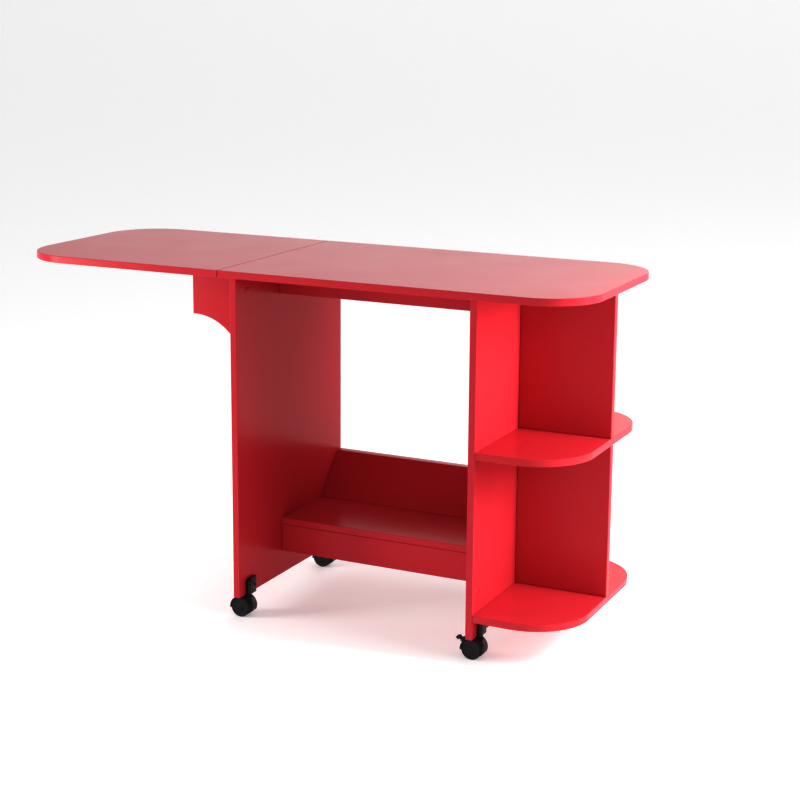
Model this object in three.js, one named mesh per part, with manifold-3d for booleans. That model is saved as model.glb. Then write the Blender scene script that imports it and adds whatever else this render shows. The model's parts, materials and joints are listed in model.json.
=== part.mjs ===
// Sewing table: a red board table on four swivel casters, with a drop leaf on the left, a swing-out
// support bracket below it, a low storage shelf between the end panels and a shelf end on the right.
// Millimetres, +Z up, +X right, -Y front. The origin is on the floor, below the middle of the open top.
import * as THREE from 'three';
import { mergeVertices } from 'three/addons/utils/BufferGeometryUtils.js';
import Module from 'manifold-3d';

const wasm = await Module();
wasm.setup();

// Overall sizes
const TABLE_HEIGHT = 749.3;
const TOP_DEPTH = 482.6;
const MAIN_TOP_LENGTH = 789;
const LEAF_LENGTH = 514.5;
const BOARD = 15;
const TOP_CORNER_RADIUS = 114;
const LEAF_CORNER_RADIUS = 125;
const SHELF_CORNER_RADIUS = 121;
const SEAM_GAP = 1;
const CLEARANCE = 0.3;

// End panels
const SEAM_TO_PANEL = 18;
const PANEL_SPACING = 520;
const PANEL_FRONT = -222;
const PANEL_BACK = 238;
const PANEL_BOTTOM = 46;

// Shelf end
const SHELF_REACH = 201;
const MID_SHELF_TOP = 431.5;
const BOTTOM_SHELF_TOP = 98;

// Storage shelf, apron, sloped back board and rail
const RAIL_FRONT = -42;
const RAIL_BOTTOM = 673.5;
const STORAGE_SHELF_TOP = 175.5;
const STORAGE_SHELF_BACK = 160;
const APRON_BOTTOM = 99;
const BACK_BOARD_TOP = 267;
const BACK_BOARD_FOOT = 136;
const BACK_BOARD_HEAD = 217;

// Leaf support bracket
const BRACKET_BOARD = 12;
const BRACKET_REACH = 217.5;
const BRACKET_BACK = -8;
const BRACKET_OUTER_HEIGHT = 128;
const BRACKET_ARC_RADIUS = 125;
const BRACKET_TIP = 4.4;
const BRACKET_HEADROOM = 5.2;
const PAD_LENGTH = 18;
const PAD_SETBACK = 2;

// Casters
const WHEEL_RADIUS = 21.5;
const WHEEL_WIDTH = 12.6;
const WHEEL_OFFSET = 13.7;
const STEM_FROM_PANEL = 6.3;
const FRONT_STEM_Y = -194;
const BACK_STEM_Y = 171;

// Values worked out from the sizes above
const SEAM_X = (LEAF_LENGTH - MAIN_TOP_LENGTH) / 2;
const TOP_END_X = SEAM_X + MAIN_TOP_LENGTH;
const LEAF_END_X = SEAM_X - LEAF_LENGTH;
const TOP_FRONT = -TOP_DEPTH / 2;
const TOP_BACK = TOP_DEPTH / 2;
const UNDERSIDE = TABLE_HEIGHT - BOARD;
const LEFT_OUTER_X = SEAM_X + SEAM_TO_PANEL;
const LEFT_INNER_X = LEFT_OUTER_X + BOARD;
const RIGHT_INNER_X = LEFT_INNER_X + PANEL_SPACING;
const RIGHT_OUTER_X = RIGHT_INNER_X + BOARD;
const SHELF_END_X = RIGHT_OUTER_X + SHELF_REACH;
const DIVIDER_FRONT = (PANEL_FRONT + PANEL_BACK - BOARD) / 2;
const PANEL_TOP = UNDERSIDE - CLEARANCE;

// Materials
const paint = () => new THREE.MeshStandardMaterial({ color: 0xb8101c, roughness: 0.28, metalness: 0 });
const blackPlastic = () => new THREE.MeshStandardMaterial({ color: 0x17171a, roughness: 0.5, metalness: 0 });
const tread = () => new THREE.MeshStandardMaterial({ color: 0x222226, roughness: 0.6, metalness: 0 });
const steel = () => new THREE.MeshStandardMaterial({ color: 0xb4b6b8, roughness: 0.35, metalness: 1 });

const group = new THREE.Group();

function addNode(name, geometry, material) {
  const mesh = new THREE.Mesh(geometry, material);
  mesh.name = name;
  group.add(mesh);
}

// Solids: geometry to manifold and back
function toSolid(geometry) {
  geometry.deleteAttribute('normal');
  geometry.deleteAttribute('uv');
  const merged = mergeVertices(geometry);
  const mesh = new wasm.Mesh({
    numProp: 3,
    vertProperties: new Float32Array(merged.attributes.position.array),
    triVerts: new Uint32Array(merged.index.array),
  });
  return new wasm.Manifold(mesh);
}

function toGeometry(solid) {
  const mesh = solid.getMesh();
  const geometry = new THREE.BufferGeometry();
  geometry.setAttribute('position', new THREE.BufferAttribute(mesh.vertProperties, 3));
  geometry.setIndex(new THREE.BufferAttribute(mesh.triVerts, 1));
  return geometry;
}

function joined(solids) {
  return solids.reduce((whole, solid) => whole.add(solid));
}

// A box from its lowest to its highest corner
function boxGeometry([x0, y0, z0], [x1, y1, z1]) {
  const geometry = new THREE.BoxGeometry(x1 - x0, y1 - y0, z1 - z0);
  geometry.translate((x0 + x1) / 2, (y0 + y1) / 2, (z0 + z1) / 2);
  return geometry;
}

const boxSolid = (low, high) => toSolid(boxGeometry(low, high));

// A cylinder centred on a point, along the x, y or z axis
function cylinderSolid(radius, length, axis, [x, y, z], sides) {
  const geometry = new THREE.CylinderGeometry(radius, radius, length, sides);
  if (axis === 'x') geometry.rotateZ(Math.PI / 2);
  if (axis === 'z') geometry.rotateX(Math.PI / 2);
  geometry.translate(x, y, z);
  return toSolid(geometry);
}

// An outline in the XY plane, extruded up from z
function platform(shape, z, thickness) {
  const settings = { depth: thickness, bevelEnabled: false, curveSegments: 14 };
  const geometry = new THREE.ExtrudeGeometry(shape, settings);
  geometry.translate(0, 0, z);
  return geometry;
}

// An outline in the XZ plane, extruded back from y
function sideProfile(shape, y, thickness, curveSegments = 14) {
  const settings = { depth: thickness, bevelEnabled: false, curveSegments };
  const geometry = new THREE.ExtrudeGeometry(shape, settings);
  geometry.rotateX(Math.PI / 2);
  geometry.translate(0, y + thickness, 0);
  return geometry;
}

// A plan with square corners at xSquare and rounded corners at xRound
function roundedPlan(xSquare, xRound, front, back, radius) {
  const side = Math.sign(xRound - xSquare);
  const centreX = xRound - side * radius;
  const shape = new THREE.Shape();
  shape.moveTo(xSquare, front);
  shape.lineTo(centreX, front);
  shape.absarc(centreX, front + radius, radius, -Math.PI / 2, side > 0 ? 0 : -Math.PI, side < 0);
  shape.absarc(centreX, back - radius, radius, side > 0 ? 0 : Math.PI, Math.PI / 2, side < 0);
  shape.lineTo(xSquare, back);
  shape.closePath();
  return shape;
}

// Cam locks hold the main top down on the panels: a cam in each panel face and a bolt up into the top
const CAM_RADIUS = 7.4;
const CAM_DEPTH = 12.4;
const CAM_DROP = 35;
const CAM_FROM_EDGE = 46;
const CAM_SIDES = 28;
const CAM_SLOT = { width: 1.6, length: 11.2, depth: 1.5 };
const CAM_BOLT_RADIUS = 3;
const CAM_BOLT_IN_TOP = 10;
const camZ = UNDERSIDE - CAM_DROP;
const camFrontY = PANEL_FRONT + CAM_FROM_EDGE;
const camRearY = PANEL_BACK - CAM_FROM_EDGE;
const camPlaces = [
  { name: 'front_left', faceX: LEFT_INNER_X, into: -1, y: camFrontY },
  { name: 'back_left', faceX: LEFT_INNER_X, into: -1, y: camRearY },
  { name: 'front_right', faceX: RIGHT_INNER_X, into: 1, y: camFrontY },
  { name: 'back_right', faceX: RIGHT_INNER_X, into: 1, y: camRearY },
];

function camBody({ faceX, into, y }, growth) {
  const depth = CAM_DEPTH + growth;
  return cylinderSolid(CAM_RADIUS + growth, depth, 'x', [faceX + (into * depth) / 2, y, camZ], CAM_SIDES);
}

function camSlot({ faceX, y }, halfY, halfZ) {
  const low = [faceX - CAM_SLOT.depth, y - halfY, camZ - halfZ];
  const high = [faceX + CAM_SLOT.depth, y + halfY, camZ + halfZ];
  return boxSolid(low, high);
}

function camLock(place) {
  const narrow = CAM_SLOT.width / 2;
  const long = CAM_SLOT.length / 2;
  return camBody(place, 0)
    .subtract(camSlot(place, long, narrow))
    .subtract(camSlot(place, narrow, long));
}

function camBolt({ faceX, into, y }, growth) {
  const bottom = camZ + CAM_RADIUS + CLEARANCE - growth;
  const top = UNDERSIDE + CAM_BOLT_IN_TOP + growth;
  const centre = [faceX + (into * BOARD) / 2, y, (bottom + top) / 2];
  return cylinderSolid(CAM_BOLT_RADIUS + growth, top - bottom, 'z', centre, 12);
}

const camHoles = joined(camPlaces.map((place) => camBody(place, CLEARANCE)));
const camBoltHoles = joined(camPlaces.map((place) => camBolt(place, CLEARANCE)));

// Tops
const mainPlan = roundedPlan(SEAM_X + SEAM_GAP / 2, TOP_END_X, TOP_FRONT, TOP_BACK, TOP_CORNER_RADIUS);
const mainTop = toSolid(platform(mainPlan, UNDERSIDE, BOARD)).subtract(camBoltHoles);
addNode('main_top', toGeometry(mainTop), paint());

const leafPlan = roundedPlan(SEAM_X - SEAM_GAP / 2, LEAF_END_X, TOP_FRONT, TOP_BACK, LEAF_CORNER_RADIUS);
addNode('drop_leaf', platform(leafPlan, UNDERSIDE, BOARD), paint());

// End panels
function endPanel(x) {
  return boxSolid([x, PANEL_FRONT, PANEL_BOTTOM], [x + BOARD, PANEL_BACK, PANEL_TOP])
    .subtract(camHoles)
    .subtract(camBoltHoles);
}

addNode('left_end_panel', toGeometry(endPanel(LEFT_OUTER_X)), paint());
addNode('right_end_panel', toGeometry(endPanel(RIGHT_INNER_X)), paint());

// Boards between the end panels
const SPAN_LEFT = LEFT_INNER_X + CLEARANCE;
const SPAN_RIGHT = RIGHT_INNER_X - CLEARANCE;

function spanBoard(front, bottom, back, top) {
  return boxGeometry([SPAN_LEFT, front, bottom], [SPAN_RIGHT, back, top]);
}

const shelfUnderside = STORAGE_SHELF_TOP - BOARD;
addNode('top_rail', spanBoard(RAIL_FRONT, RAIL_BOTTOM, RAIL_FRONT + BOARD, PANEL_TOP), paint());
addNode('storage_shelf', spanBoard(RAIL_FRONT, shelfUnderside, STORAGE_SHELF_BACK, STORAGE_SHELF_TOP), paint());
const apron = spanBoard(RAIL_FRONT, APRON_BOTTOM, RAIL_FRONT + BOARD, shelfUnderside - CLEARANCE);
addNode('storage_apron', apron, paint());

// The sloped back board leans back from the shelf to the panels' rear edges, cut level at both ends
function slopedBackBoard() {
  const foot = STORAGE_SHELF_TOP + CLEARANCE;
  const lean = Math.atan2(BACK_BOARD_HEAD - BACK_BOARD_FOOT, BACK_BOARD_TOP - STORAGE_SHELF_TOP);
  const width = BOARD / Math.cos(lean);
  const section = new THREE.Shape();
  section.moveTo(BACK_BOARD_FOOT, foot);
  section.lineTo(BACK_BOARD_FOOT + width, foot);
  section.lineTo(BACK_BOARD_HEAD + width, BACK_BOARD_TOP);
  section.lineTo(BACK_BOARD_HEAD, BACK_BOARD_TOP);
  section.closePath();
  const length = SPAN_RIGHT - SPAN_LEFT;
  const geometry = new THREE.ExtrudeGeometry(section, { depth: length, bevelEnabled: false });
  const alongX = new THREE.Matrix4().makeBasis(
    new THREE.Vector3(0, 1, 0),
    new THREE.Vector3(0, 0, 1),
    new THREE.Vector3(1, 0, 0),
  );
  geometry.applyMatrix4(alongX);
  geometry.translate(SPAN_LEFT, 0, 0);
  return geometry;
}

addNode('sloped_back_board', slopedBackBoard(), paint());

// Shelf end: two rounded shelves with an upright divider above and below the mid shelf
function roundedShelf(top) {
  const xs = [RIGHT_OUTER_X + CLEARANCE, SHELF_END_X];
  const plan = roundedPlan(...xs, PANEL_FRONT, PANEL_BACK, SHELF_CORNER_RADIUS);
  return platform(plan, top - BOARD, BOARD);
}

function divider(bottom, top) {
  const low = [RIGHT_OUTER_X + CLEARANCE, DIVIDER_FRONT, bottom + CLEARANCE];
  const high = [SHELF_END_X, DIVIDER_FRONT + BOARD, top - CLEARANCE];
  return boxGeometry(low, high);
}

addNode('mid_shelf', roundedShelf(MID_SHELF_TOP), paint());
addNode('bottom_shelf', roundedShelf(BOTTOM_SHELF_TOP), paint());
addNode('upper_divider', divider(MID_SHELF_TOP, UNDERSIDE), paint());
addNode('lower_divider', divider(BOTTOM_SHELF_TOP, MID_SHELF_TOP - BOARD), paint());

for (const place of camPlaces) {
  addNode(`cam_lock_${place.name}`, toGeometry(camLock(place)), steel());
  addNode(`cam_bolt_${place.name}`, toGeometry(camBolt(place, 0)), steel());
}

// Leaf support bracket: an upright board whose lower outer corner is cut away by a concave arc
const BRACKET_ROOT_GAP = 0.5;
const BRACKET_TOP = UNDERSIDE - BRACKET_HEADROOM;
const bracketRootX = LEFT_OUTER_X - BRACKET_ROOT_GAP;
const bracketTipX = bracketRootX - BRACKET_REACH;
const bracketTipZ = UNDERSIDE - BRACKET_OUTER_HEIGHT;
const bracketFootZ = bracketTipZ - BRACKET_ARC_RADIUS;
const bracketArcX = bracketTipX + BRACKET_TIP;

function bracketOutline() {
  const shape = new THREE.Shape();
  shape.moveTo(bracketRootX, bracketFootZ);
  shape.lineTo(bracketRootX, BRACKET_TOP);
  shape.lineTo(bracketTipX, BRACKET_TOP);
  shape.lineTo(bracketTipX, bracketTipZ);
  shape.absarc(bracketArcX, bracketFootZ, BRACKET_ARC_RADIUS, Math.PI / 2, 0, true);
  shape.closePath();
  return shape;
}

const bracketFront = BRACKET_BACK - BRACKET_BOARD;
addNode('leaf_support_bracket', sideProfile(bracketOutline(), bracketFront, BRACKET_BOARD, 20), paint());

// The pad on the bracket's outer end carries the leaf and lets the rest pass below the leaf hinges
const padX = bracketTipX + PAD_SETBACK;
const padLow = [padX, bracketFront + 1, BRACKET_TOP + CLEARANCE];
const padHigh = [padX + PAD_LENGTH, BRACKET_BACK - 1, UNDERSIDE - CLEARANCE];
addNode('leaf_support_pad', boxGeometry(padLow, padHigh), blackPlastic());

// Butt hinges. Each is built lying along its pin at the origin of its own frame: the pin runs along w,
// plate A spreads along +u below v = r, and plate B spreads along the direction turned by openAngle.
const KNUCKLES = 5;
const KNUCKLE_GAP = 0.4;
const KNUCKLE_SIDES = 16;

function hingePlate({ radius, thickness, spread, length, knuckleNumbers }) {
  const rootU = radius + 0.4;
  const pitch = length / KNUCKLES;
  const pieces = [boxSolid([rootU, radius - thickness, -length / 2], [spread, radius, length / 2])];
  for (const number of knuckleNumbers) {
    const low = -length / 2 + number * pitch + KNUCKLE_GAP / 2;
    const high = low + pitch - KNUCKLE_GAP;
    pieces.push(cylinderSolid(radius, high - low, 'z', [0, 0, (low + high) / 2], KNUCKLE_SIDES));
    pieces.push(boxSolid([0, radius - thickness, low], [rootU + 0.2, radius, high]));
  }
  const bore = cylinderSolid(0.6 * radius, length + 2, 'z', [0, 0, 0], KNUCKLE_SIDES);
  return toGeometry(joined(pieces).subtract(bore));
}

function hingePin({ radius, length }) {
  const pin = cylinderSolid(0.6 * radius - 0.35, length, 'z', [0, 0, 0], 12);
  return toGeometry(pin);
}

function placed(geometry, uAxis, vAxis, wAxis, origin) {
  const matrix = new THREE.Matrix4().makeBasis(uAxis, vAxis, wAxis);
  matrix.setPosition(...origin);
  const copy = geometry.clone();
  copy.applyMatrix4(matrix);
  return copy;
}

const AXIS = {
  right: new THREE.Vector3(1, 0, 0),
  left: new THREE.Vector3(-1, 0, 0),
  back: new THREE.Vector3(0, 1, 0),
  front: new THREE.Vector3(0, -1, 0),
  up: new THREE.Vector3(0, 0, 1),
  down: new THREE.Vector3(0, 0, -1),
};
const EVEN_KNUCKLES = [0, 2, 4];
const ODD_KNUCKLES = [1, 3];

// Leaf hinges lie flat below the seam, with the pin along Y
const LEAF_HINGE = { radius: 2, thickness: 1.2, spread: 16, length: 50 };
const leafPinZ = UNDERSIDE - CLEARANCE - LEAF_HINGE.radius;
const leafHingeYs = { front: -150, rear: 150 };

for (const [place, y] of Object.entries(leafHingeYs)) {
  const origin = [SEAM_X, y, leafPinZ];
  const fixedPlate = hingePlate({ ...LEAF_HINGE, knuckleNumbers: EVEN_KNUCKLES });
  const leafPlate = hingePlate({ ...LEAF_HINGE, knuckleNumbers: ODD_KNUCKLES });
  const onTop = [AXIS.right, AXIS.up, AXIS.front, origin];
  const onLeaf = [AXIS.left, AXIS.up, AXIS.back, origin];
  addNode(`leaf_hinge_${place}_fixed_plate`, placed(fixedPlate, ...onTop), steel());
  addNode(`leaf_hinge_${place}_leaf_plate`, placed(leafPlate, ...onLeaf), steel());
  addNode(`leaf_hinge_${place}_pin`, placed(hingePin(LEAF_HINGE), ...onTop), steel());
}

// Bracket hinges stand in the corner behind the bracket, with the pin along Z
const BRACKET_HINGE = { radius: 2, thickness: 1, spread: 20, length: 40 };
const bracketPinX = LEFT_OUTER_X - CLEARANCE - BRACKET_HINGE.radius;
const bracketPinY = BRACKET_BACK + CLEARANCE + BRACKET_HINGE.radius;
const bracketHingeZs = { upper: UNDERSIDE - 45, lower: bracketFootZ + 45 };

for (const [place, z] of Object.entries(bracketHingeZs)) {
  const origin = [bracketPinX, bracketPinY, z];
  const panelPlate = hingePlate({ ...BRACKET_HINGE, knuckleNumbers: EVEN_KNUCKLES });
  const bracketPlate = hingePlate({ ...BRACKET_HINGE, knuckleNumbers: ODD_KNUCKLES });
  const onPanel = [AXIS.back, AXIS.right, AXIS.down, origin];
  const onBracket = [AXIS.left, AXIS.front, AXIS.up, origin];
  addNode(`bracket_hinge_${place}_panel_plate`, placed(panelPlate, ...onPanel), steel());
  addNode(`bracket_hinge_${place}_bracket_plate`, placed(bracketPlate, ...onBracket), steel());
  addNode(`bracket_hinge_${place}_pin`, placed(hingePin(BRACKET_HINGE), ...onPanel), steel());
}

// Casters: a mount with a stem socket on the panel's right face, and a swivelling twin-wheel hood
const MOUNT_HEIGHT = 36;
const MOUNT_THICKNESS = 7;
const MOUNT_FRONT = 3;
const MOUNT_WIDTH = 26;
const SOCKET_HEIGHT = 33;
const SOCKET_RADIUS = 5.6;
const STEM_RADIUS = 3.5;
const STEM_BORE = 3.9;
const HOOD_INNER = WHEEL_RADIUS + 0.6;
const HOOD_OUTER = WHEEL_RADIUS + 2.2;
const HOOD_HALF_WIDTH = 16.5;
const FENDER_START = (-25 * Math.PI) / 180;
const FENDER_END = (188 * Math.PI) / 180;
const WEB_HALF_WIDTH = 2.5;
const WHEEL_GAP = 0.4;
const AXLE_RADIUS = 2;
const AXLE_BORE = 2.5;
const AXLE_Z = WHEEL_RADIUS;
const BOSS_RADIUS = 7;
const BOSS_TOP = PANEL_BOTTOM - 0.6;
const SOCKET_TOP = PANEL_BOTTOM + SOCKET_HEIGHT;

// The mount is a block screwed to the panel, with the stem's socket at its outer end
function casterMount(panelFaceX, stemY, towardMiddle) {
  const stemX = panelFaceX + STEM_FROM_PANEL;
  const faceX = panelFaceX + CLEARANCE;
  const nearY = stemY + towardMiddle * MOUNT_FRONT;
  const farY = nearY + towardMiddle * MOUNT_WIDTH;
  const low = [faceX, Math.min(nearY, farY), PANEL_BOTTOM];
  const high = [faceX + MOUNT_THICKNESS, Math.max(nearY, farY), PANEL_BOTTOM + MOUNT_HEIGHT];
  const block = boxSolid(low, high);
  const socketCentre = [stemX, stemY, (PANEL_BOTTOM + SOCKET_TOP) / 2];
  const socket = cylinderSolid(SOCKET_RADIUS, SOCKET_HEIGHT, 'z', socketCentre, 24);
  const boreCentre = [stemX, stemY, socketCentre[2] - 2];
  const bore = cylinderSolid(STEM_BORE, SOCKET_HEIGHT, 'z', boreCentre, 20);
  return toGeometry(block.add(socket).subtract(bore));
}

// The fender's section, which reaches further down on the stem's side
function fenderRing(x) {
  const shape = new THREE.Shape();
  shape.absarc(x, AXLE_Z, HOOD_OUTER, FENDER_START, FENDER_END, false);
  shape.absarc(x, AXLE_Z, HOOD_INNER, FENDER_END, FENDER_START, true);
  shape.closePath();
  return shape;
}

function halfDisc(radius, x) {
  const shape = new THREE.Shape();
  shape.moveTo(x + radius, AXLE_Z - 4);
  shape.lineTo(x + radius, AXLE_Z);
  shape.absarc(x, AXLE_Z, radius, 0, Math.PI, false);
  shape.lineTo(x - radius, AXLE_Z - 4);
  shape.closePath();
  return shape;
}

// The brake lever's pivot pin sits between two ears on the hood's outer quarter, over the front wheel
const LEVER_DISTANCE = 26.8;
const LEVER_ANGLE = (140 * Math.PI) / 180;
const LEVER_FORWARD = 7;
const LEVER_HALF_WIDTH = 4.6;
const LEVER_NECK = 3.4;
const LEVER_HEAD = { out: 8.6, up: 2.7, halfLength: 5, halfHeight: 3.7 };
const EAR_THICKNESS = 2.6;
const EAR_RADIUS = 3;
const EAR_ROOT = { across: 6, down: 6, up: 2 };
const LEVER_ROOT_RADIUS = 2.6;
const LEVER_PIN_RADIUS = 1;

function leverPivot(wheelX) {
  return [wheelX + LEVER_DISTANCE * Math.cos(LEVER_ANGLE), AXLE_Z + LEVER_DISTANCE * Math.sin(LEVER_ANGLE)];
}

function brakeEars(wheelX, leverY) {
  const [pivotX, pivotZ] = leverPivot(wheelX);
  const pieces = [];
  const inner = LEVER_HALF_WIDTH + CLEARANCE;
  for (const side of [-1, 1]) {
    const centreY = leverY + side * (inner + EAR_THICKNESS / 2);
    const low = [pivotX, centreY - EAR_THICKNESS / 2, pivotZ - EAR_ROOT.down];
    const high = [pivotX + EAR_ROOT.across, centreY + EAR_THICKNESS / 2, pivotZ + EAR_ROOT.up];
    pieces.push(cylinderSolid(EAR_RADIUS, EAR_THICKNESS, 'y', [pivotX, centreY, pivotZ], 16));
    pieces.push(boxSolid(low, high));
  }
  const pinLength = 2 * (LEVER_HALF_WIDTH + CLEARANCE + 0.5);
  pieces.push(cylinderSolid(LEVER_PIN_RADIUS, pinLength, 'y', [pivotX, leverY, pivotZ], 10));
  return pieces;
}

function casterHood(stemX, stemY, hasBrake) {
  const wheelX = stemX - WHEEL_OFFSET;
  const fender = toSolid(sideProfile(fenderRing(wheelX), stemY - HOOD_HALF_WIDTH, 2 * HOOD_HALF_WIDTH, 24));
  const webShape = halfDisc(HOOD_INNER + 0.3, wheelX);
  const web = toSolid(sideProfile(webShape, stemY - WEB_HALF_WIDTH, 2 * WEB_HALF_WIDTH, 20));
  const bossLow = AXLE_Z + 14;
  const bossCentre = [stemX, stemY, (bossLow + BOSS_TOP) / 2];
  const wheelSpace = [-1, 1].map((side) => {
    const centreY = stemY + side * (WEB_HALF_WIDTH + HOOD_HALF_WIDTH / 2 + 0.5);
    return cylinderSolid(HOOD_INNER, HOOD_HALF_WIDTH + 1, 'y', [wheelX, centreY, AXLE_Z], 40);
  });
  const outside = [cylinderSolid(BOSS_RADIUS, BOSS_TOP - bossLow, 'z', bossCentre, 24)];
  if (hasBrake) outside.push(...brakeEars(wheelX, stemY - LEVER_FORWARD));
  const pieces = [fender, web, joined(outside).subtract(joined(wheelSpace))];
  const axleBore = cylinderSolid(AXLE_BORE, 10, 'y', [wheelX, stemY, AXLE_Z], 16);
  const stemBore = cylinderSolid(STEM_RADIUS + CLEARANCE, 9, 'z', [stemX, stemY, BOSS_TOP - 2], 20);
  return toGeometry(joined(pieces).subtract(axleBore).subtract(stemBore));
}

function casterStem(stemX, stemY) {
  const bottom = BOSS_TOP - 6;
  const top = SOCKET_TOP - 3;
  return toGeometry(cylinderSolid(STEM_RADIUS, top - bottom, 'z', [stemX, stemY, (bottom + top) / 2], 16));
}

// A wheel turned about Y: flat outer face with a raised rim, rounded tread edges and a bore
function casterWheel(wheelX, stemY, side) {
  const edge = 2;
  const dish = 0.8;
  const w = WHEEL_WIDTH;
  const r = WHEEL_RADIUS;
  const profile = [
    [AXLE_BORE, 0],
    [r - edge, 0],
    [r, edge],
    [r, w - edge],
    [r - edge, w],
    [r - 4, w],
    [r - 5, w - dish],
    [AXLE_BORE, w - dish],
    [AXLE_BORE, 0],
  ].map(([radius, along]) => new THREE.Vector2(radius, along));
  const geometry = new THREE.LatheGeometry(profile, 36);
  if (side < 0) geometry.rotateX(Math.PI);
  geometry.translate(wheelX, stemY + side * (WEB_HALF_WIDTH + WHEEL_GAP), AXLE_Z);
  return toGeometry(toSolid(geometry));
}

function casterAxle(wheelX, stemY) {
  const length = 2 * (WEB_HALF_WIDTH + WHEEL_GAP + WHEEL_WIDTH - 1.2);
  return toGeometry(cylinderSolid(AXLE_RADIUS, length, 'y', [wheelX, stemY, AXLE_Z], 12));
}

// The lever turns on the pivot pin: a short neck rises to a rounded head that a toe presses down
function brakeLever(wheelX, leverY) {
  const [pivotX, pivotZ] = leverPivot(wheelX);
  const headX = pivotX - LEVER_HEAD.out;
  const headZ = pivotZ + LEVER_HEAD.up;
  const headShape = new THREE.Shape();
  headShape.absellipse(headX, headZ, LEVER_HEAD.halfLength, LEVER_HEAD.halfHeight, 0, 2 * Math.PI, false, 0);
  const neckShape = new THREE.Shape();
  neckShape.moveTo(pivotX, pivotZ - LEVER_NECK / 2);
  neckShape.lineTo(pivotX, pivotZ + LEVER_NECK / 2);
  neckShape.lineTo(headX, headZ + LEVER_NECK / 2);
  neckShape.lineTo(headX, headZ - LEVER_NECK / 2);
  neckShape.closePath();
  const front = leverY - LEVER_HALF_WIDTH;
  const width = 2 * LEVER_HALF_WIDTH;
  const head = toSolid(sideProfile(headShape, front, width, 12));
  const neck = toSolid(sideProfile(neckShape, front, width));
  const root = cylinderSolid(LEVER_ROOT_RADIUS, width, 'y', [pivotX, leverY, pivotZ], 16);
  const bore = cylinderSolid(LEVER_PIN_RADIUS + 0.4, 2 * width, 'y', [pivotX, leverY, pivotZ], 12);
  return toGeometry(joined([head, neck, root]).subtract(bore));
}

const casters = [
  { name: 'front_left', panelFaceX: LEFT_INNER_X, stemY: FRONT_STEM_Y, towardMiddle: 1, hasBrake: false },
  { name: 'front_right', panelFaceX: RIGHT_OUTER_X, stemY: FRONT_STEM_Y, towardMiddle: 1, hasBrake: true },
  { name: 'back_left', panelFaceX: LEFT_INNER_X, stemY: BACK_STEM_Y, towardMiddle: -1, hasBrake: false },
  { name: 'back_right', panelFaceX: RIGHT_OUTER_X, stemY: BACK_STEM_Y, towardMiddle: -1, hasBrake: true },
];

for (const { name, panelFaceX, stemY, towardMiddle, hasBrake } of casters) {
  const stemX = panelFaceX + STEM_FROM_PANEL;
  const wheelX = stemX - WHEEL_OFFSET;
  const leverY = stemY - LEVER_FORWARD;
  addNode(`caster_${name}_mount`, casterMount(panelFaceX, stemY, towardMiddle), blackPlastic());
  addNode(`caster_${name}_stem`, casterStem(stemX, stemY), steel());
  addNode(`caster_${name}_hood`, casterHood(stemX, stemY, hasBrake), blackPlastic());
  addNode(`caster_${name}_axle`, casterAxle(wheelX, stemY), steel());
  addNode(`caster_${name}_wheel_front`, casterWheel(wheelX, stemY, -1), tread());
  addNode(`caster_${name}_wheel_rear`, casterWheel(wheelX, stemY, 1), tread());
  if (hasBrake) addNode(`caster_${name}_brake_lever`, brakeLever(wheelX, leverY), blackPlastic());
}

export default group;
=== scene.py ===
import json
import math

import bmesh
import bpy
from mathutils import Matrix, Vector


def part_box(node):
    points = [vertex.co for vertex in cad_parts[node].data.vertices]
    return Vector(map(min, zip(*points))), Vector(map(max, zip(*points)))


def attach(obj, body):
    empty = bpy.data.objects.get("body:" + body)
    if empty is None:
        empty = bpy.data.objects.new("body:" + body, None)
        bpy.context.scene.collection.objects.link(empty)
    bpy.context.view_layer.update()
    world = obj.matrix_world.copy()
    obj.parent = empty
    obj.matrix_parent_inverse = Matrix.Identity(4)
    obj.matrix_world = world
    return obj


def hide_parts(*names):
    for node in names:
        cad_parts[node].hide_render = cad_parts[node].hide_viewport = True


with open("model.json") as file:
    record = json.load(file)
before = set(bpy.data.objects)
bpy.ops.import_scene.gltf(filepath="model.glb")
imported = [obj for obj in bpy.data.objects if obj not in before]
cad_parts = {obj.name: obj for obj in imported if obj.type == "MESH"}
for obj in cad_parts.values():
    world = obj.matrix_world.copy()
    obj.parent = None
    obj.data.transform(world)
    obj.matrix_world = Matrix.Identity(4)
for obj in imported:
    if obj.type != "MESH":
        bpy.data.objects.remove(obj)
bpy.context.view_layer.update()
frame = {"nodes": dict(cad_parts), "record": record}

MM = 0.001

# The camera stands to the right of the table's middle and looks back across it, a little downward.
CAMERA_PLACE = Vector((1.7069, -3.2031, 1.3107))
CAMERA_YAW = 26.034
CAMERA_PITCH = -11.872
CAMERA_ROLL = 0.345
CAMERA_LENS = 77.80
CAMERA_SENSOR = 36.0
CAMERA_SEES_TO = 2000.0
CAMERA_SHIFT = (0.0101, -0.0595)


# ---------------------------------------------------------------- materials

# Most of a noise texture lies between these values.
NOISE_LOW = 0.3
NOISE_HIGH = 0.7


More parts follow.
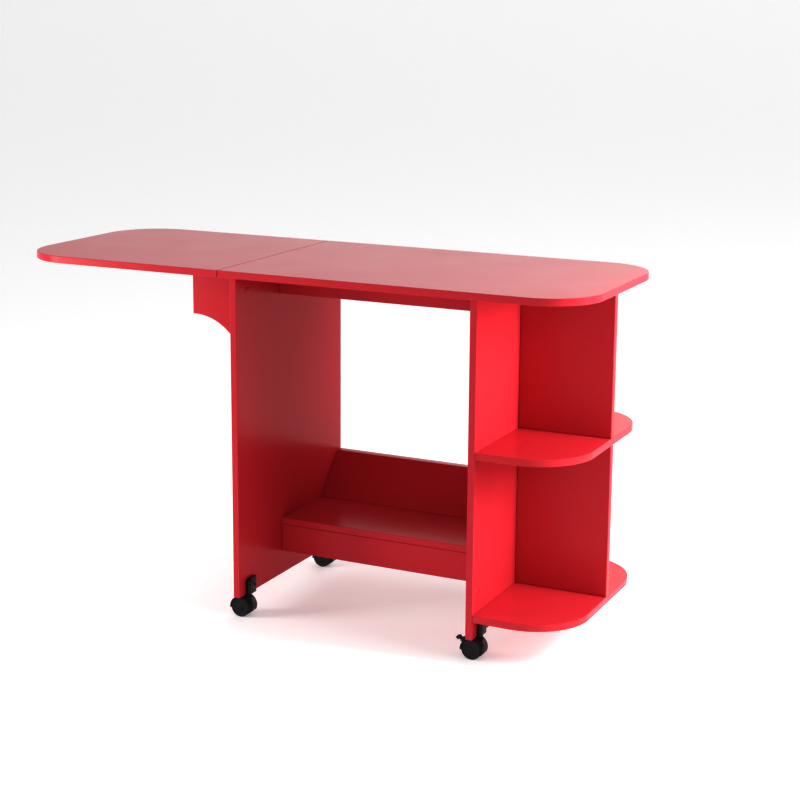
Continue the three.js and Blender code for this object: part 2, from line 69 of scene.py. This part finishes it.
class Nodes:
    """A Principled material and short calls that add nodes to it."""

    def __init__(self, name, roughness, metallic=0.0):
        self.material = bpy.data.materials.new(name)
        self.material.use_nodes = True
        self.tree = self.material.node_tree
        self.shader = self.tree.nodes["Principled BSDF"]
        self.shader.inputs["Metallic"].default_value = metallic
        self.shader.inputs["Roughness"].default_value = roughness
        self.place = self.tree.nodes.new("ShaderNodeTexCoord").outputs["Object"]

    def stretched(self, scale):
        """The object's coordinates, scaled along each axis."""
        mapping = self.tree.nodes.new("ShaderNodeMapping")
        mapping.inputs["Scale"].default_value = scale
        self.tree.links.new(self.place, mapping.inputs["Vector"])
        return mapping.outputs["Vector"]

    def noise(self, scale, detail=2.0, place=None):
        """A noise texture's value."""
        noise = self.tree.nodes.new("ShaderNodeTexNoise")
        noise.inputs["Scale"].default_value = scale
        noise.inputs["Detail"].default_value = detail
        self.tree.links.new(place or self.place, noise.inputs["Vector"])
        return noise.outputs["Fac"]

    def between(self, factor, low, high):
        """A number that goes from low to high with the noise."""
        ramp = self.tree.nodes.new("ShaderNodeMapRange")
        ramp.inputs["From Min"].default_value = NOISE_LOW
        ramp.inputs["From Max"].default_value = NOISE_HIGH
        ramp.inputs["To Min"].default_value = low
        ramp.inputs["To Max"].default_value = high
        self.tree.links.new(factor, ramp.inputs["Value"])
        return ramp.outputs["Result"]

    def colours(self, factor, low, high):
        """A base colour that goes from low to high with the noise."""
        ramp = self.tree.nodes.new("ShaderNodeValToRGB")
        ramp.color_ramp.elements[0].position = NOISE_LOW
        ramp.color_ramp.elements[0].color = (*low, 1.0)
        ramp.color_ramp.elements[1].position = NOISE_HIGH
        ramp.color_ramp.elements[1].color = (*high, 1.0)
        self.tree.links.new(factor, ramp.inputs["Fac"])
        self.tree.links.new(ramp.outputs["Color"], self.shader.inputs["Base Color"])

    def rough(self, value):
        """Lets a value drive the roughness."""
        self.tree.links.new(value, self.shader.inputs["Roughness"])

    def bump(self, height, distance, strength):
        """Lets a height raise and lower the surface's shading."""
        bump = self.tree.nodes.new("ShaderNodeBump")
        bump.inputs["Strength"].default_value = strength
        bump.inputs["Distance"].default_value = distance
        self.tree.links.new(height, bump.inputs["Height"])
        self.tree.links.new(bump.outputs["Normal"], self.shader.inputs["Normal"])


def red_paint():
    """Sprayed red lacquer on smooth board: even colour, faint orange peel, satin gloss."""
    nodes = Nodes("red_paint", roughness=0.25)
    nodes.shader.inputs["IOR"].default_value = 1.5
    nodes.shader.inputs["Specular IOR Level"].default_value = 0.12
    nodes.colours(nodes.noise(2.5, 3.0), (0.452, 0.0290, 0.0405), (0.470, 0.0305, 0.0425))
    nodes.rough(nodes.between(nodes.noise(9.0, 3.0), 0.235, 0.265))
    nodes.bump(nodes.noise(260.0, 1.0), 0.00002, 0.12)
    return nodes.material


def black_plastic():
    """Moulded black nylon with a fine spark-eroded grain."""
    nodes = Nodes("black_plastic", roughness=0.42)
    nodes.shader.inputs["Specular IOR Level"].default_value = 0.25
    nodes.colours(nodes.noise(60.0), (0.0060, 0.0058, 0.0064), (0.0085, 0.0082, 0.0090))
    nodes.rough(nodes.between(nodes.noise(180.0, 3.0), 0.36, 0.50))
    nodes.bump(nodes.noise(1600.0, 2.0), 0.00005, 0.5)
    return nodes.material


def wheel_plastic():
    """Black wheel: slightly dustier and duller than the hood, with fine turning marks."""
    nodes = Nodes("wheel_plastic", roughness=0.5)
    nodes.shader.inputs["Specular IOR Level"].default_value = 0.25
    nodes.colours(nodes.noise(90.0, 4.0), (0.0068, 0.0066, 0.0075), (0.0110, 0.0104, 0.0112))
    nodes.rough(nodes.between(nodes.noise(140.0, 3.0), 0.42, 0.58))
    nodes.bump(nodes.noise(900.0, 2.0), 0.00005, 0.4)
    return nodes.material


def zinc_steel():
    """Zinc-plated sheet steel with faint rolling marks and cloudy plating."""
    nodes = Nodes("zinc_steel", roughness=0.34, metallic=1.0)
    nodes.colours(nodes.noise(120.0, 4.0), (0.46, 0.47, 0.49), (0.60, 0.60, 0.61))
    marks = nodes.noise(900.0, 2.0, nodes.stretched((1.0, 0.05, 1.0)))
    nodes.rough(nodes.between(nodes.noise(260.0, 3.0), 0.27, 0.42))
    nodes.bump(marks, 0.00003, 0.5)
    return nodes.material


PAINT = red_paint()
PLASTIC = black_plastic()
WHEEL = wheel_plastic()
STEEL = zinc_steel()


# ---------------------------------------------------------------- building pieces

def shape(name, bm, material, body, replaces=()):
    """Turns a bmesh in row coordinates into a piece of the object."""
    bmesh.ops.recalc_face_normals(bm, faces=bm.faces)
    mesh = bpy.data.meshes.new(name)
    bm.to_mesh(mesh)
    bm.free()
    for polygon in mesh.polygons:
        polygon.use_smooth = True
    mesh.materials.append(material)
    piece = bpy.data.objects.new(name, mesh)
    bpy.context.scene.collection.objects.link(piece)
    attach(piece, body)
    if replaces:
        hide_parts(*replaces)
    return piece


SHARP_ANGLE = math.radians(32.0)
FLAT_ANGLE = math.radians(1.0)


def ease(piece, width, segments=3):
    """Rounds the piece's sharp edges over and keeps its flat faces flat."""
    bevel = piece.modifiers.new("eased_edges", "BEVEL")
    bevel.width = width
    bevel.segments = segments
    bevel.limit_method = "ANGLE"
    bevel.angle_limit = SHARP_ANGLE
    bevel.harden_normals = True


def arc(centre_u, centre_v, radius, start, end, steps):
    """Points on an arc, in degrees, both ends included."""
    points = []
    for step in range(steps + 1):
        a = math.radians(start + (end - start) * step / steps)
        points.append((centre_u + radius * math.cos(a), centre_v + radius * math.sin(a)))
    return points


def extruded(outline, place, along):
    """A bmesh prism: place(u, v) puts an outline point in space, and along is the extrusion."""
    bm = bmesh.new()
    near = [bm.verts.new(place(u, v)) for u, v in outline]
    far = [bm.verts.new(place(u, v) + along) for u, v in outline]
    bm.faces.new(near)
    bm.faces.new(reversed(far))
    for i in range(len(outline)):
        j = (i + 1) % len(outline)
        bm.faces.new((near[i], far[i], far[j], near[j]))
    return bm


def turned(profile, place, steps):
    """A bmesh turned about local Z from (radius, height) points; place takes it into the row."""
    bm = bmesh.new()
    rings = []
    for radius, height in profile:
        if radius == 0:
            rings.append([bm.verts.new(place @ Vector((0, 0, height)))])
            continue
        ring = []
        for step in range(steps):
            a = 2 * math.pi * step / steps
            ring.append(bm.verts.new(place @ Vector((radius * math.cos(a), radius * math.sin(a), height))))
        rings.append(ring)
    for low, high in zip(rings, rings[1:]):
        for i in range(steps):
            j = (i + 1) % steps
            corners = [low[i % len(low)], low[j % len(low)], high[j % len(high)], high[i % len(high)]]
            bm.faces.new(list(dict.fromkeys(corners)))
    return bm


def facing(point, direction):
    """A placement with its origin at point and its Z along direction."""
    turn = Vector(direction).to_track_quat("Z", "Y").to_matrix().to_4x4()
    return Matrix.Translation(Vector(point)) @ turn


SAME_POINT = 0.001 * MM
SLIVER = 0.03 * MM


def refined(node, material, width, body, segments=2):
    """The CAD node's own shape with its sharp edges eased."""
    bm = bmesh.new()
    bm.from_mesh(frame["nodes"][node].data)
    bmesh.ops.remove_doubles(bm, verts=bm.verts, dist=SAME_POINT)
    bmesh.ops.dissolve_limit(bm, angle_limit=FLAT_ANGLE, verts=bm.verts, edges=bm.edges)
    piece = shape(f"{node}_finished", bm, material, body, [node])
    ease(piece, width, segments)
    weld = piece.modifiers.new("welded_slivers", "WELD")
    weld.merge_threshold = SLIVER


BODY_OF = {}
for body_name, members in frame["record"]["behaviour"]["bodies"].items():
    for member in members:
        BODY_OF[member] = body_name


# ---------------------------------------------------------------- boards

EDGE_EASE = 1.5 * MM
CORNER_STEPS = 40
MAIN_TOP_CORNER = 0.114
DROP_LEAF_CORNER = 0.125
SHELF_CORNER = 0.121


def board(node, outline):
    """A painted board as thick as its box, with the given outline seen from above."""
    low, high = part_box(node)
    bm = extruded(outline, lambda u, v: Vector((u, v, low.z)), Vector((0, 0, high.z - low.z)))
    ease(shape(f"{node}_painted", bm, PAINT, "table", [node]), EDGE_EASE)


def rounded_board(node, round_side, r):
    """A board with two square corners and, on round_side (+1 or -1 along X), two of radius r."""
    low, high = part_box(node)
    if round_side > 0:
        outline = [(low.x, high.y), (low.x, low.y)]
        outline += arc(high.x - r, low.y + r, r, -90, 0, CORNER_STEPS)
        outline += arc(high.x - r, high.y - r, r, 0, 90, CORNER_STEPS)
    else:
        outline = [(high.x, low.y), (high.x, high.y)]
        outline += arc(low.x + r, high.y - r, r, 90, 180, CORNER_STEPS)
        outline += arc(low.x + r, low.y + r, r, 180, 270, CORNER_STEPS)
    board(node, outline)


def square_board(node):
    """A board with square corners, from its box."""
    low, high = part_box(node)
    board(node, [(low.x, low.y), (high.x, low.y), (high.x, high.y), (low.x, high.y)])


rounded_board("main_top", 1, MAIN_TOP_CORNER)
rounded_board("drop_leaf", -1, DROP_LEAF_CORNER)
rounded_board("mid_shelf", 1, SHELF_CORNER)
rounded_board("bottom_shelf", 1, SHELF_CORNER)

for node in ("left_end_panel", "right_end_panel", "top_rail", "storage_shelf",
             "storage_apron", "upper_divider", "lower_divider"):
    square_board(node)

refined("sloped_back_board", PAINT, EDGE_EASE, "table", segments=3)


# ---------------------------------------------------------------- leaf support

BRACKET_ARC_RADIUS = 0.125
BRACKET_TIP = 4.4 * MM
ARC_STEPS = 48


def leaf_support():
    """The swing-out bracket: a board with a concave quarter round below its outer end."""
    low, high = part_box("leaf_support_bracket")
    arc_x = low.x + BRACKET_TIP
    outline = [(high.x, low.z), (high.x, high.z), (low.x, high.z), (low.x, low.z + BRACKET_ARC_RADIUS)]
    outline += arc(arc_x, low.z, BRACKET_ARC_RADIUS, 90, 0, ARC_STEPS)
    depth = Vector((0, high.y - low.y, 0))
    bm = extruded(outline, lambda u, v: Vector((u, low.y, v)), depth)
    piece = shape("leaf_support_painted", bm, PAINT, "leaf_support", ["leaf_support_bracket"])
    ease(piece, EDGE_EASE)


PAD_EASE = 0.8 * MM

leaf_support()
refined("leaf_support_pad", PLASTIC, PAD_EASE, "leaf_support")


# ---------------------------------------------------------------- small hardware

HINGE_EASE = 0.15 * MM
TURNED_EASE = 0.3 * MM
MOULDED_EASE = 0.5 * MM

for node in sorted(BODY_OF):
    if node.startswith(("leaf_hinge", "bracket_hinge")):
        refined(node, STEEL, HINGE_EASE, BODY_OF[node])
    if node.endswith(("_stem", "_axle")) or node.startswith("cam_"):
        refined(node, STEEL, TURNED_EASE, BODY_OF[node])
    if node.startswith("caster_") and node.endswith(("_mount", "_hood", "_brake_lever")):
        refined(node, PLASTIC, MOULDED_EASE, BODY_OF[node])


SCREW_STEPS = 32
SCREW_ROOT = -0.3 * MM
RECESS_ARM = 0.34 * MM
RECESS_REACH = 0.55
RECESS_DEPTH = 0.7
SHOULDER_HEIGHT = 0.55
ABOVE_SHOULDER = 0.9
HEAD_FLAT = 0.82


def screw(name, place, body, radius, rise, material):
    """A flat-topped screw head with a cross recess."""
    reach = RECESS_REACH * radius
    shoulder = [(0, SCREW_ROOT), (radius, SCREW_ROOT),
                (radius, SHOULDER_HEIGHT * rise), (HEAD_FLAT * radius, rise)]
    bm = turned(shoulder, place, SCREW_STEPS)
    rim = [edge for edge in bm.edges if edge.is_boundary
           and all((place.inverted() @ vert.co).z > ABOVE_SHOULDER * rise for vert in edge.verts)]
    corners = []
    for quarter in range(4):
        spin = Matrix.Rotation(quarter * math.pi / 2, 3, "Z")
        for u, v in ((RECESS_ARM, RECESS_ARM), (RECESS_ARM, reach), (-RECESS_ARM, reach)):
            corners.append(spin @ Vector((u, v, rise)))
    top = [bm.verts.new(place @ corner) for corner in corners]
    down = Vector((0, 0, -RECESS_DEPTH * rise))
    low = [bm.verts.new(place @ (corner + down)) for corner in corners]
    cross = []
    for i in range(len(corners)):
        j = (i + 1) % len(corners)
        bm.faces.new((top[i], top[j], low[j], low[i]))
        cross.append(bm.edges.get((top[i], top[j])))
    bm.faces.new(low)
    bmesh.ops.triangle_fill(bm, edges=rim + cross, use_beauty=True)
    piece = shape(name, bm, material, body)
    for polygon in piece.data.polygons:
        polygon.use_smooth = False


PLATE_SCREW_RADIUS = 2.6 * MM
PLATE_SCREW_RISE = 0.12 * MM
LEAF_PLATE_THICK = 1.2 * MM
BRACKET_PLATE_THICK = 1.0 * MM
LEAF_SCREWS = {"apart": 16 * MM, "inset": 6 * MM}
BRACKET_SCREWS = {"apart": 12 * MM, "inset": 8 * MM}


def plate_screws(node, direction, apart, inset):
    """Two flush screws in a hinge plate, each side of its middle and inset from its far edge."""
    low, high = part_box(node)
    middle = (low + high) / 2
    for number, along in enumerate((-apart, apart)):
        point = middle.copy()
        if node.startswith("leaf"):
            point.y += along
            point.z = high.z - LEAF_PLATE_THICK
            point.x = low.x + inset if node.endswith("leaf_plate") else high.x - inset
        elif node.endswith("panel_plate"):
            point.z += along
            point.x = high.x - BRACKET_PLATE_THICK
            point.y = high.y - inset
        else:
            point.z += along
            point.x = low.x + inset
            point.y = low.y + BRACKET_PLATE_THICK
        screw(f"{node}_screw_{number}", facing(point, direction), BODY_OF[node],
              PLATE_SCREW_RADIUS, PLATE_SCREW_RISE, STEEL)


for place in ("front", "rear"):
    for plate in ("fixed_plate", "leaf_plate"):
        plate_screws(f"leaf_hinge_{place}_{plate}", (0, 0, -1), **LEAF_SCREWS)
for place in ("upper", "lower"):
    plate_screws(f"bracket_hinge_{place}_panel_plate", (-1, 0, 0), **BRACKET_SCREWS)
    plate_screws(f"bracket_hinge_{place}_bracket_plate", (0, 1, 0), **BRACKET_SCREWS)


# The cap's profile from its centre outwards and back, as radius and height in millimetres.
CAP_PROFILE = [(0, -0.2), (8.3, -0.2), (8.3, 0.25), (8.1, 0.55), (7.7, 0.75), (6.4, 0.85), (0, 1.0)]
CAP_STEPS = 56


def cover_cap(node):
    """The painted cap that hides a cam lock in the panel's inner face."""
    low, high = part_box(node)
    middle = (low + high) / 2
    inward = 1 if node.endswith("left") else -1
    middle.x = high.x if inward > 0 else low.x
    profile = [(r * MM, h * MM) for r, h in CAP_PROFILE]
    bm = turned(profile, facing(middle, (inward, 0, 0)), CAP_STEPS)
    shape(f"{node}_cap", bm, PAINT, "table")


for node in sorted(BODY_OF):
    if node.startswith("cam_lock_"):
        cover_cap(node)


# ---------------------------------------------------------------- casters

# Wheel sizes, in millimetres.
WHEEL_STEPS = 72
WHEEL_R = 21.5
WHEEL_W = 12.6
TREAD_ROUND = 2
TREAD_STEPS = 8
AXLE_HOLE = {"radius": 2.5, "depth": 11.6}
HUB_FACE = WHEEL_W - 0.15
WEB_FACE = WHEEL_W - 0.7
# The outer face from the rim to the hub, as radius and height.
WHEEL_FACE = [(17.9, WHEEL_W), (17.5, HUB_FACE), (17.1, WHEEL_W - 0.6), (16.8, WEB_FACE),
              (6.6, WEB_FACE), (6.3, WHEEL_W - 0.6), (5.9, WHEEL_W - 0.25), (5.5, HUB_FACE),
              (0, HUB_FACE)]


def wheel(node):
    """A moulded wheel with rounded tread edges, a raised rim and a shallow hub."""
    low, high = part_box(node)
    middle = (low + high) / 2
    outward = -1 if node.endswith("front") else 1
    root = Vector((middle.x, high.y if outward < 0 else low.y, middle.z))
    bore = [(0, AXLE_HOLE["depth"]), (AXLE_HOLE["radius"], AXLE_HOLE["depth"]), (AXLE_HOLE["radius"], 0)]
    edge = WHEEL_R - TREAD_ROUND
    inner_edge = arc(edge, TREAD_ROUND, TREAD_ROUND, -90, 0, TREAD_STEPS)
    outer_edge = arc(edge, WHEEL_W - TREAD_ROUND, TREAD_ROUND, 0, 90, TREAD_STEPS)
    profile = bore + inner_edge + outer_edge + WHEEL_FACE
    bm = turned([(r * MM, h * MM) for r, h in profile], facing(root, (0, outward, 0)), WHEEL_STEPS)
    shape(f"{node}_moulded", bm, WHEEL, BODY_OF[node], [node])


MOUNT_THICK = 7.0 * MM
MOUNT_SCREW_RADIUS = 2.3 * MM
MOUNT_SCREW_RISE = 1.0 * MM
# Each screw: how far in from the mount's outer edge and how far up it sits, in millimetres.
MOUNT_SCREWS = ((17.6, 9), (17.6, 27), (28.0, 18))


def mount_screws(node):
    """Three black screws that hold a caster mount on its panel."""
    low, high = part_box(node)
    for number, (inset, up) in enumerate(MOUNT_SCREWS):
        y = low.y + inset * MM if "front" in node else high.y - inset * MM
        point = Vector((low.x + MOUNT_THICK, y, low.z + up * MM))
        screw(f"{node}_screw_{number}", facing(point, (1, 0, 0)), "table",
              MOUNT_SCREW_RADIUS, MOUNT_SCREW_RISE, PLASTIC)


for node in sorted(BODY_OF):
    if "_wheel_" in node:
        wheel(node)
    if node.endswith("_mount"):
        mount_screws(node)


# ---------------------------------------------------------------- studio

# Each softbox: its place, what it faces, its width and height in metres, its power in watts, and
# whether it shows in gloss.
SOFTBOXES = {
    "left": ((-1.5, -1.15, 0.75), (-0.4, -0.2, 0.55), 0.6, 0.9, 24.5, True),
    "right": ((1.75, 0.01, 0.72), (0.45, 0.0, 0.35), 0.2, 0.7, 11.0, False),
    "right_near": ((1.15, 0.0, 0.8), (0.4, 0.0, 0.3), 0.14, 0.5, 8.0, False),
    "right_fill": ((5.4, 0.5, 2.8), (0.4, 0.0, 0.4), 4.2, 3.6, 270.0, False),
}
# The surround's even strength, and what its front and back add: the direction and the strength.
SKY_EVEN = 0.29
SKY_SIDES = {
    "front": ((0, -1, 0.3), 0.9),
    "back": ((0, 1, 0.3), 1.6),
}
SKY_GATHERED = 3.0
# Below 1, it deepens the shaded reds as the photograph does.
VIEW_GAMMA = 0.72


FLOOR_REACH = 400.0
FLOOR_GREY = 0.9
FLOOR_GLOW = 0.25


def floor():
    """A plain pale floor that glows a little, so that it stays near white far away."""
    bm = bmesh.new()
    corners = [(-FLOOR_REACH, -FLOOR_REACH), (FLOOR_REACH, -FLOOR_REACH),
               (FLOOR_REACH, FLOOR_REACH), (-FLOOR_REACH, FLOOR_REACH)]
    bm.faces.new([bm.verts.new((x, y, 0.0)) for x, y in corners])
    mesh = bpy.data.meshes.new("floor")
    bm.to_mesh(mesh)
    bm.free()
    pale = Nodes("pale_floor", roughness=0.7)
    pale.shader.inputs["Base Color"].default_value = (FLOOR_GREY, FLOOR_GREY, FLOOR_GREY, 1.0)
    pale.shader.inputs["Emission Color"].default_value = (1.0, 1.0, 1.0, 1.0)
    pale.shader.inputs["Emission Strength"].default_value = FLOOR_GLOW
    mesh.materials.append(pale.material)
    piece = bpy.data.objects.new("floor", mesh)
    bpy.context.scene.collection.objects.link(piece)


def softbox(name):
    """A lamp of SOFTBOXES, which the camera doesn't see."""
    place, target, width, height, power, shows_in_gloss = SOFTBOXES[name]
    light = bpy.data.lights.new(name, "AREA")
    light.shape = "RECTANGLE"
    light.size = width
    light.size_y = height
    light.energy = power
    lamp = bpy.data.objects.new(name, light)
    lamp.location = place
    lamp.rotation_mode = "QUATERNION"
    lamp.rotation_quaternion = (Vector(target) - Vector(place)).to_track_quat("-Z", "Y")
    lamp.visible_camera = False
    lamp.visible_glossy = shows_in_gloss
    bpy.context.scene.collection.objects.link(lamp)


def sky():
    """A pale studio surround, brighter to its front and back."""
    world = bpy.data.worlds.new("studio")
    bpy.context.scene.world = world
    world.use_nodes = True
    tree = world.node_tree
    direction = tree.nodes.new("ShaderNodeTexCoord").outputs["Generated"]

    def maths(operation, first, second):
        node = tree.nodes.new("ShaderNodeMath")
        node.operation = operation
        for socket, value in zip(node.inputs, (first, second)):
            if isinstance(value, float):
                socket.default_value = value
            else:
                tree.links.new(value, socket)
        return node.outputs["Value"]

    def towards(side):
        node = tree.nodes.new("ShaderNodeVectorMath")
        node.operation = "DOT_PRODUCT"
        tree.links.new(direction, node.inputs[0])
        node.inputs[1].default_value = Vector(side).normalized()
        return maths("MAXIMUM", node.outputs["Value"], 0.0)

    total = SKY_EVEN
    for axis, strength in SKY_SIDES.values():
        lobe = maths("POWER", towards(axis), SKY_GATHERED)
        total = maths("ADD", maths("MULTIPLY", lobe, strength), total)
    background = tree.nodes["Background"]
    background.inputs["Color"].default_value = (1.0, 1.0, 1.0, 1.0)
    tree.links.new(total, background.inputs["Strength"])


def camera():
    """The camera that fits the photograph, turned by its yaw, pitch and roll."""
    yaw, pitch, roll = (math.radians(a) for a in (CAMERA_YAW, CAMERA_PITCH, CAMERA_ROLL))
    level = Vector((-math.sin(yaw), math.cos(yaw), 0))
    across = Vector((math.cos(yaw), math.sin(yaw), 0))
    ahead = math.cos(pitch) * level + math.sin(pitch) * Vector((0, 0, 1))
    upward = -math.sin(pitch) * level + math.cos(pitch) * Vector((0, 0, 1))
    right = math.cos(roll) * across + math.sin(roll) * upward
    top = -math.sin(roll) * across + math.cos(roll) * upward
    data = bpy.data.cameras.new("camera")
    data.lens = CAMERA_LENS
    data.sensor_width = CAMERA_SENSOR
    data.shift_x, data.shift_y = CAMERA_SHIFT
    data.clip_end = CAMERA_SEES_TO
    view = bpy.data.objects.new("camera", data)
    view.matrix_world = Matrix((right, top, -ahead)).transposed().to_4x4()
    view.matrix_world.translation = CAMERA_PLACE
    bpy.context.scene.collection.objects.link(view)
    bpy.context.scene.camera = view


floor()
sky()
for name in SOFTBOXES:
    softbox(name)
camera()
bpy.context.scene.view_settings.view_transform = "Standard"
bpy.context.scene.view_settings.gamma = VIEW_GAMMA
